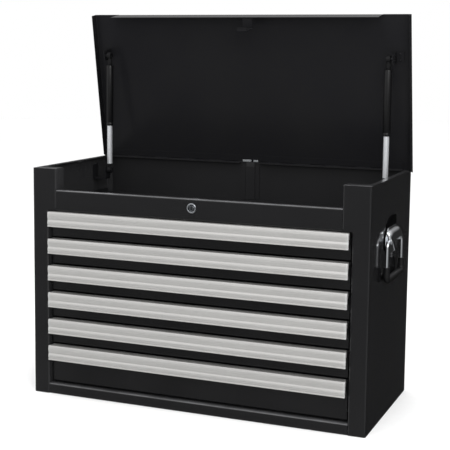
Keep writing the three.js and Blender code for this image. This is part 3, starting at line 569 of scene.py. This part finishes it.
# The gas struts: a ground and chromed rod in a nylon end socket below, and a black enamelled cylinder
# above, rolled in at its mouth and closed by a neck and a second socket. With the lid open the pivots of
# either strut are its length apart.
strut_length = 242.749 * MM
strut_eye = 7 * MM
strut_eye_width = 8 * MM
strut_eye_bore = 3.7 * MM
strut_eye_ease = 0.6 * MM
neck_radius = 3.6 * MM
neck_start = strut_eye * 0.75
rod_radius = 5.5 * MM
rod_start = 13.7 * MM
rod_top = 125 * MM
# Profiles are points of (radius, distance), which is measured from the lower pivot, in a socket from its own
# pivot, and in the tube's mouth from the tube's start.
rod_profile = [(rod_radius - 0.4 * MM, rod_start), (rod_radius, rod_start + 0.4 * MM),
               (rod_radius, rod_top - 0.5 * MM), (rod_radius - 0.5 * MM, rod_top)]
collar_radius = neck_radius + 1 * MM
rod_socket_profile = [(neck_radius, neck_start), (neck_radius, 12.4 * MM), (collar_radius, 13 * MM),
                      (collar_radius, 13.6 * MM)]
tube_radius = 7.5 * MM
tube_bore = 6 * MM
tube_start = 95 * MM
tube_end = strut_length - 20 * MM
tube_lip = tube_radius - 0.1 * MM
tube_groove = tube_radius - 0.7 * MM
tube_mouth = [(tube_bore, 0.5 * MM), (tube_bore + 0.6 * MM, 0), (tube_radius - 0.6 * MM, 0.5 * MM),
              (tube_lip, 2 * MM), (tube_lip, 5 * MM), (tube_groove, 6.2 * MM), (tube_groove, 7 * MM),
              (tube_radius, 8.2 * MM)]
tube_shoulder = [(tube_radius, tube_end - 3 * MM), (tube_radius - 0.5 * MM, tube_end - 1.2 * MM),
                 (tube_radius - 2 * MM, tube_end), (neck_radius, tube_end)]
tube_profile = [(radius, tube_start + rise) for radius, rise in tube_mouth] + tube_shoulder
cup_radius = neck_radius + 1.2 * MM
tube_socket_profile = [(neck_radius, neck_start), (neck_radius, 8.5 * MM), (cup_radius, 9.5 * MM),
                       (cup_radius, 19.2 * MM), (cup_radius - 0.4 * MM, 19.8 * MM)]


def chrome_plate(name, colour, light, gloss, rough, feature, metal=1.0):
    """Bright chrome over polished metal, with faint waves of the polish in its shine."""
    material, tree, shader = new_material(name, Metallic=metal)
    at = add_node(tree, "TexCoord").outputs["Object"]
    waves = add_node(tree, "TexNoise", {"Vector": at, "Scale": 1 / feature, "Detail": 3.0})
    colour_by(tree, shader, waves.outputs["Fac"], colour, light)
    shine_by(tree, shader, waves.outputs["Fac"], gloss, rough)
    relief_by(tree, shader, waves.outputs["Fac"], 0.05, 0.05 * MM, 0.5 * MM)
    return material


def moulded(name, colour, light, gloss, rough, grain_size, specular):
    """An even colour broken by a fine grain, as a spark-cut mould or a thick flat paint gives it."""
    material, tree, shader = new_material(name, IOR=1.5, Specular_IOR_Level=specular)
    at = add_node(tree, "TexCoord").outputs["Object"]
    # A real grain is about a tenth of a millimetre, so its size is given some ten times larger, to show.
    grain = add_node(tree, "TexNoise", {"Vector": at, "Scale": 1 / grain_size, "Detail": 3.0})
    colour_by(tree, shader, grain.outputs["Fac"], colour, light)
    shine_by(tree, shader, grain.outputs["Fac"], gloss, rough)
    relief_by(tree, shader, grain.outputs["Fac"], 0.3, 0.08 * MM)
    return material


def lathe(profile, start, along, steps=40, ring=False):
    """Turns a profile of (radius, distance) points about a line that leaves start in the direction along.
    A ring is a closed profile with a bore, and any other has a face over either end."""
    along = Vector(along).normalized()
    across = along.orthogonal().normalized()
    beside = along.cross(across)
    radius, distance = np.array(profile).T[:, :, None, None]
    angle = np.linspace(0, 2 * math.pi, steps, endpoint=False)[:, None]
    circle = np.cos(angle) * np.array(across) + np.sin(angle) * np.array(beside)
    points = np.array(Vector(start)) + radius * circle + distance * np.array(along)
    if ring:
        return points, grid_faces(len(profile), steps, wrap_rows=True)
    return points, tube_faces(len(profile), steps)


def joined(*shapes):
    """Several (points, faces) shapes as one."""
    points, faces, offset = [], [], 0
    for shape_points, shape_faces in shapes:
        flat = np.asarray(shape_points, float).reshape(-1, 3)
        points.append(flat)
        faces += [[i + offset for i in face] for face in shape_faces]
        offset += len(flat)
    return np.concatenate(points), faces


def socket(centre, up, stem):
    """An end socket: an eye about X, its edges eased, joined to a stem turned about the strut's line."""
    half, rim = strut_eye_width / 2, strut_eye - strut_eye_ease
    shoulder = half - strut_eye_ease
    eye = [(strut_eye_bore, -half), (rim, -half), (strut_eye, -shoulder), (strut_eye, shoulder),
           (rim, half), (strut_eye_bore, half)]
    return joined(lathe(eye, centre, (1, 0, 0), ring=True), lathe(stem, centre, up))


def joint_vector(name, key):
    """A joint's place or axis, as the frame gives it."""
    return Vector(next(joint for joint in frame["joints"] if joint["name"] == name)[key])


def strut_line(word):
    """A strut's lower pivot, its direction and its upper pivot, with the lid open."""
    lower = joint_vector(f"{word}_strut_swing", "pos_m")
    along = joint_vector(f"{word}_strut_slide", "axis")
    return lower, along, lower + along * strut_length


# The ground rod gives one broad bright line, the nylon hardly shines, and the enamel lies between the two.
ground_chrome = chrome_plate("ground_hard_chrome_rod", "#c4c6c9", "#d2d4d7", 0.32, 0.4, 2 * MM, 0.55)
black_nylon = moulded("glass_filled_nylon_moulded_black", "#0e0e0f", "#161617", 0.5, 0.6, 0.8 * MM, 0.12)
black_enamel = powder_coat("stoved_black_enamel_on_tube", "#0b0b0c", "#101011", 0.34, 0.4, 0.25)
for word in words:
    lower, along, upper = strut_line(word)
    shaft = add_object(f"{word}_rod_shaft", *lathe(rod_profile, lower, along), ground_chrome)
    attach(shaft, f"{word}_rod")
    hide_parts(f"{word}_strut_rod")

    low_shape = socket(lower, along, rod_socket_profile)
    low_socket = add_object(f"{word}_rod_socket", *low_shape, black_nylon, 40)
    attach(low_socket, f"{word}_rod")

    tube = add_object(f"{word}_tube", *lathe(tube_profile, lower, along, 48), black_enamel)
    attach(tube, f"{word}_cylinder")
    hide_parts(f"{word}_strut_cylinder")

    high_shape = socket(upper, -along, tube_socket_profile)
    high_socket = add_object(f"{word}_tube_socket", *high_shape, black_nylon, 40)
    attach(high_socket, f"{word}_cylinder")


# The rivets of the upper strut brackets: two domed steel heads on each foot plate, closed through the lid
# before it was sprayed, so they carry the lid's powder.
lid_angle = math.radians(80)
lid_way = Vector((0, -math.cos(lid_angle), math.sin(lid_angle)))
lid_under = Vector((0, -math.sin(lid_angle), -math.cos(lid_angle)))
foot_plate_rise = 20 * MM
foot_plate_out = 18 * MM
bracket_rivet = (2.4 * MM, 1.2 * MM)
bracket_rivet_gap = 12 * MM
rivet_sink = 0.3 * MM


def rivet_head(radius, height, place, out, steps=20, rings=6):
    """A domed head: the radius follows a quarter ellipse from its foot to its crown."""
    lift = np.linspace(0, math.pi / 2, rings, endpoint=False)
    dome = np.stack([radius * np.cos(lift), height * np.sin(lift)], axis=-1)
    return lathe([(radius, -rivet_sink), *dome], place, out, steps)


for word, side in sides.items():
    foot_plate = strut_line(word)[2] - lid_under * foot_plate_rise + Vector((side * foot_plate_out, 0, 0))
    heads = [rivet_head(*bracket_rivet, foot_plate + lid_way * bracket_rivet_gap * share, lid_under)
             for share in (-0.5, 0.5)]
    rivets = add_object(f"{word}_upper_bracket_rivets", *joined(*heads), lid_powder)
    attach(rivets, "lid")


# The lock's housing: turned brass, chromed a little dull, through the rail and held by its nut. Its rim rises
# in a quarter ellipse to a crest, inside which the mouth goes down to the plug, so it reads as a soft ring.
housing_low, housing_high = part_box("lock_housing")
lock_middle = Vector(((housing_low.x + housing_high.x) / 2, housing_low.y,
                      (housing_low.z + housing_high.z) / 2))
housing_length = housing_high.y - housing_low.y
bezel_radius = (housing_high.x - housing_low.x) / 2
bezel_height = 2.3 * MM
crest_radius = 7.6 * MM
mouth_radius = 6.7 * MM
mouth_start = 0.5 * MM
mouth_depth = 4 * MM
barrel_radius = 8 * MM
plug_bore = 5.7 * MM
dome_turn = np.linspace(0, math.pi / 2, 10)
dome = np.stack([crest_radius + (bezel_radius - crest_radius) * np.sin(dome_turn),
                 bezel_height * (1 - np.cos(dome_turn))], axis=-1)
housing_profile = [(plug_bore, mouth_depth), (mouth_radius, mouth_depth), (mouth_radius, mouth_start), *dome,
                   (barrel_radius, bezel_height), (barrel_radius, housing_length),
                   (plug_bore, housing_length)]
dull_chrome = chrome_plate("dull_chrome_plate_on_brass", "#888b8f", "#9a9da1", 0.1, 0.16, 3 * MM)
housing_shape = lathe(housing_profile, lock_middle, (0, 1, 0), 64, ring=True)
housing = add_object("lock_collar", *housing_shape, dull_chrome)
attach(housing, "case")
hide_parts("lock_housing")


# The lock's plug: nickel-plated brass that turns with the key, with a keyway across its face and a riveted
# stem behind, which carries the cam. Its nickel is coloured darker than the housing, and uneven.
plug_low, plug_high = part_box("lock_plug")
plug_front = Vector((lock_middle.x, plug_low.y, lock_middle.z))
plug_radius = 5.3 * MM
plug_length = 19 * MM
plug_bevel = 0.7 * MM
keyway_wide, keyway_high, keyway_deep, keyway_ease = 1.6 * MM, 6.4 * MM, 5 * MM, 0.25 * MM
stem_radius = 2.6 * MM
stem_seat = 1 * MM
stem_end = plug_high.y - plug_low.y
rivet_radius, rivet_thick, rivet_ease = 4 * MM, 1.4 * MM, 0.3 * MM
stem_profile = [(stem_radius, plug_length - stem_seat), (stem_radius, stem_end - rivet_thick),
                (rivet_radius, stem_end - rivet_thick), (rivet_radius, stem_end - rivet_ease),
                (rivet_radius - rivet_ease, stem_end)]


def slotted_plug(steps=96):
    """Rings that run from the keyway's floor up its wall, over the face, round the rim and back. A point of
    the keyway stands at the same angle as its point of the rim, where that ray meets the keyway's side."""
    angle = np.linspace(0, 2 * math.pi, steps, endpoint=False)
    across, up = np.cos(angle), np.sin(angle)
    with np.errstate(divide="ignore"):
        ray = np.minimum(keyway_wide / 2 / np.abs(across), keyway_high / 2 / np.abs(up))
    rim = np.full(steps, plug_radius)
    radius = np.stack([ray, ray, ray + keyway_ease, rim - plug_bevel, rim, rim])
    depth = np.array([keyway_deep, keyway_ease, 0, 0, plug_bevel, plug_length])[:, None]
    points = np.stack(np.broadcast_arrays(radius * across, depth, radius * up), axis=-1)
    return points + np.array(plug_front), tube_faces(len(depth), steps)


# The plug is coloured dark and uneven, darker than the housing's chrome.
dark_uneven_nickel = chrome_plate("dark_uneven_nickel_plate_on_plug", "#4c4f52", "#7c7f83", 0.2, 0.32, 1.5 * MM)
plug_shape = joined(slotted_plug(), lathe(stem_profile, plug_front, (0, 1, 0)))
plug = add_object("keyed_plug", *plug_shape, dark_uneven_nickel)
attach(plug, "lock_plug")
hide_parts("lock_plug")


# The drop handles' backplates: flat steel painted a dull black, square below, with a long rounded brow at the
# front. Two rivet heads stand beside each on the panel, in the case's powder. Shapes are drawn for the right
# side, with X out from the panel, Y to the back and Z up from the pins on which the bail hangs.
backplate_start, backplate_face = 0.3 * MM, 1.8 * MM
backplate_half, backplate_top, backplate_foot = 38 * MM, 42 * MM, -16 * MM
brow_run, brow_rise = 44 * MM, 30 * MM
rear_corner = 5 * MM
press_edge = 0.5 * MM
panel_rivet = (3 * MM, 1.6 * MM)
panel_rivet_out, panel_rivet_up = 51.5 * MM, 38 * MM


def backplate_outline(steps=12):
    """The outline from the rear foot: a quarter circle at the rear, and a quarter ellipse in front."""
    turn = np.linspace(0, math.pi / 2, steps)[:, None]
    rear = rear_corner * np.hstack([np.cos(turn), np.sin(turn)])
    brow = np.array([brow_run, brow_rise]) * np.hstack([-np.sin(turn), np.cos(turn)])
    return np.concatenate([[[backplate_half, backplate_foot]],
                           rear + (backplate_half - rear_corner, backplate_top - rear_corner),
                           brow + (brow_run - backplate_half, backplate_top - brow_rise),
                           [[-backplate_half, backplate_foot]]])


def handle_piece(word, name, shape, material, body):
    """Puts a piece that is drawn for the right side in its place on either side, with its body and material.
    """
    pins = joint_vector(f"{word}_bail_swing", "pos_m")
    points = np.asarray(shape[0]) * (sides[word], 1, 1) + (sides[word] * outer_face, pins.y, pins.z)
    made = add_object(f"{word}_{name}", points, shape[1], material)
    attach(made, body)
    return made


# The paint soaks up nearly all light, so the plate reads as a dark patch behind the chrome.
flat_black = moulded("flat_black_paint_on_backplate", "#030303", "#050506", 0.6, 0.75, 1.5 * MM, 0.03)
backplate_shape = carried(backplate_outline(), eased_levels(backplate_start, backplate_face, press_edge))
panel_rivets = joined(*(rivet_head(*panel_rivet, (0, out, panel_rivet_up), (1, 0, 0))
                        for out in (-panel_rivet_out, panel_rivet_out)))
for word in words:
    backplate = handle_piece(word, "backplate", backplate_shape, flat_black, "case")
    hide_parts(f"{word}_handle_backplate")
    handle_piece(word, "panel_rivets", panel_rivets, gloss_powder, "case")


# The handles' brackets: pressed steel, chromed bright. An eight-sided plate stands on the backplate, its tabs
# are rolled into an eye at either end, and a hood leans out over the eyes.
plate_start, plate_sheet = 2.1 * MM, 1.5 * MM
plate_wide, plate_rise, plate_drop, plate_corner = 46 * MM, 24 * MM, 26 * MM, 16 * MM
plate_ease = 3 * MM
hood_half, hood_rise, hood_foot, hood_out = 42 * MM, 20 * MM, 2 * MM, 14.6 * MM
hood_sheet = 1.2 * MM
cheek_power = 6
lean_power = 0.85
bail_out = joint_vector("right_bail_swing", "pos_m").x - outer_face
roll_length, roll_radius, roll_sheet = 9 * MM, 4.8 * MM, 1.5 * MM


def bracket_outline():
    """The plate's outline: a rectangle whose corners are cut off at 45 degrees, with eased edges."""
    wide, cut = plate_wide, plate_wide - plate_corner
    top, bottom = plate_rise, -plate_drop
    high, low = plate_rise - plate_corner, plate_corner - plate_drop
    return eased(np.array([[-wide, low], [-wide, high], [-cut, top], [cut, top], [wide, high], [wide, low],
                           [cut, bottom], [-cut, bottom]]), plate_ease, 6)


def rolled_eye(start, end, steps=26):
    """An eye rolled from the plate's tab: a strip that leaves the plate, goes nearly once round the pin in a
    circle and ends free, given half its thickness to either side."""
    angle = np.linspace(-math.pi / 2, math.pi * 1.2, steps)
    turn = np.stack([bail_out + roll_radius * np.cos(angle), roll_radius * np.sin(angle)], axis=-1)
    line = np.concatenate([[[plate_start + plate_sheet / 2, -roll_radius]], turn])
    ahead = np.gradient(line, axis=0)
    square = np.stack([-ahead[:, 1], ahead[:, 0]], axis=-1) / np.linalg.norm(ahead, axis=1)[:, None]
    loop = np.concatenate([line + square * roll_sheet / 2, (line - square * roll_sheet / 2)[::-1]])
    places = np.array([[start], [end]])
    return np.stack(np.broadcast_arrays(loop[:, 0], places, loop[:, 1]), axis=-1), tube_faces(2, len(loop))


def hood(rows=20, columns=49):
    """The hood's shell. Across, it leaves the plate and leans out to its lip along a quarter ellipse, whose
    cosine is raised to the lean's power. Along the handle it draws in to the plate at either end, which
    makes the cheeks: its reach and the place along, each raised to the cheek's power, sum to one, and its
    rise goes by the root of the reach."""
    down = np.linspace(0, math.pi / 2, rows)[:, None]
    along = np.sin(np.linspace(-math.pi / 2, math.pi / 2, columns))
    reach = np.clip(1 - np.abs(along) ** cheek_power, 0, 1) ** (1 / cheek_power)
    foot = plate_start + plate_sheet / 2
    out = foot + (hood_out - foot) * np.sin(down) * reach
    up = hood_foot + (hood_rise - hood_foot) * np.cos(down) ** lean_power * reach ** 0.5
    points = np.stack(np.broadcast_arrays(out, along * hood_half, up), axis=-1)
    return points, grid_faces(rows, columns, wrap_columns=False)


# Pressed chrome mirrors the room almost sharply, with long faint waves left by the press.
bright_hood = chrome_plate("bright_chrome_plate_on_pressed_steel", "#dfe2e6", "#eceef1", 0.04, 0.1, 9 * MM)
roll_start = hood_half - roll_length
bracket_levels = eased_levels(plate_start, plate_start + plate_sheet, press_edge)
bracket_shape = joined(carried(bracket_outline(), bracket_levels), rolled_eye(roll_start, hood_half),
                       rolled_eye(-hood_half, -roll_start))
for word in words:
    bracket = handle_piece(word, "bracket_plate", bracket_shape, bright_hood, "case")
    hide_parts(f"{word}_handle_bracket")
    shell = handle_piece(word, "bracket_hood", hood(), bright_hood, "case")
    wall = shell.modifiers.new("wall", "SOLIDIFY")
    wall.thickness = hood_sheet
    wall.offset = -1


# The bails: round rod bent to a square loop, chromed bright, its ends turned in to the bracket's eyes. A grip
# of black vinyl is pushed over the lower half.
bail_radius, bail_drop, bail_arm, bail_pin, bail_bend = 3.6 * MM, 68 * MM, 56 * MM, 24 * MM, 9 * MM
grip_radius, grip_bore, grip_rise = 6.2 * MM, 3.8 * MM, 24 * MM
pipe_steps = 28


def rounded_path(corners, radius, steps=10):
    """A path through points of (Y, Z), whose inner corners are right angles and become quarter circles."""
    corners = np.insert(np.array(corners, float), 0, bail_out, axis=1)
    at = corners[1:-1, None]
    back, on = corners[:-2, None] - at, corners[2:, None] - at
    back /= np.linalg.norm(back, axis=-1, keepdims=True)
    on /= np.linalg.norm(on, axis=-1, keepdims=True)
    turn = np.linspace(0, math.pi / 2, steps)[:, None]
    bends = at + radius * (back * (1 - np.sin(turn)) + on * (1 - np.cos(turn)))
    return np.concatenate([corners[:1], bends.reshape(-1, 3), corners[-1:]])


def pipe(path, radii):
    """Rings of points round a path in a plane square to X, each square to it and with its own radius."""
    ahead = np.gradient(path, axis=0)
    ahead /= np.linalg.norm(ahead, axis=1)[:, None]
    out = np.array([1.0, 0, 0])
    beside = np.cross(ahead, out)
    angle = np.linspace(0, 2 * math.pi, pipe_steps, endpoint=False)
    ring = np.cos(angle)[:, None] * out + np.sin(angle)[:, None] * beside[:, None, :]
    return path[:, None, :] + np.asarray(radii)[:, None, None] * ring


def bail_shape():
    """The rod's loop, from one pin down, across and up to the other."""
    path = rounded_path([(bail_arm - bail_pin, 0), (bail_arm, 0), (bail_arm, -bail_drop),
                         (-bail_arm, -bail_drop), (-bail_arm, 0), (bail_pin - bail_arm, 0)], bail_bend)
    return pipe(path, np.full(len(path), bail_radius)), tube_faces(len(path), pipe_steps)


def grip_shape():
    """The grip's sleeve: its outer rings, drawn in at either end, and its bore's rings back to the start."""
    path = rounded_path([(bail_arm, grip_rise - bail_drop), (bail_arm, -bail_drop), (-bail_arm, -bail_drop),
                         (-bail_arm, grip_rise - bail_drop)], bail_bend)
    outer = np.full(len(path), grip_radius)
    outer[[0, -1]] -= press_edge
    sleeve = np.concatenate([pipe(path, outer), pipe(path, np.full(len(path), grip_bore))[::-1]])
    return sleeve, grid_faces(len(sleeve), pipe_steps, wrap_rows=True)


# The rod mirrors the room in narrow lines, and the vinyl gives back a broad dull sheen.
bright_chrome = chrome_plate("bright_chrome_plate_on_steel", "#d6d9dd", "#e9ebee", 0.05, 0.14, 6 * MM)
black_vinyl = moulded("black_vinyl_moulded_grip", "#0e0e0f", "#131314", 0.4, 0.5, 1 * MM, 0.25)
for word in words:
    bail = handle_piece(word, "bail_rod", bail_shape(), bright_chrome, f"{word}_bail")
    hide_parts(f"{word}_handle_bail")
    grip = handle_piece(word, "bail_grip", grip_shape(), black_vinyl, f"{word}_bail")
    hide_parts(f"{word}_handle_grip")
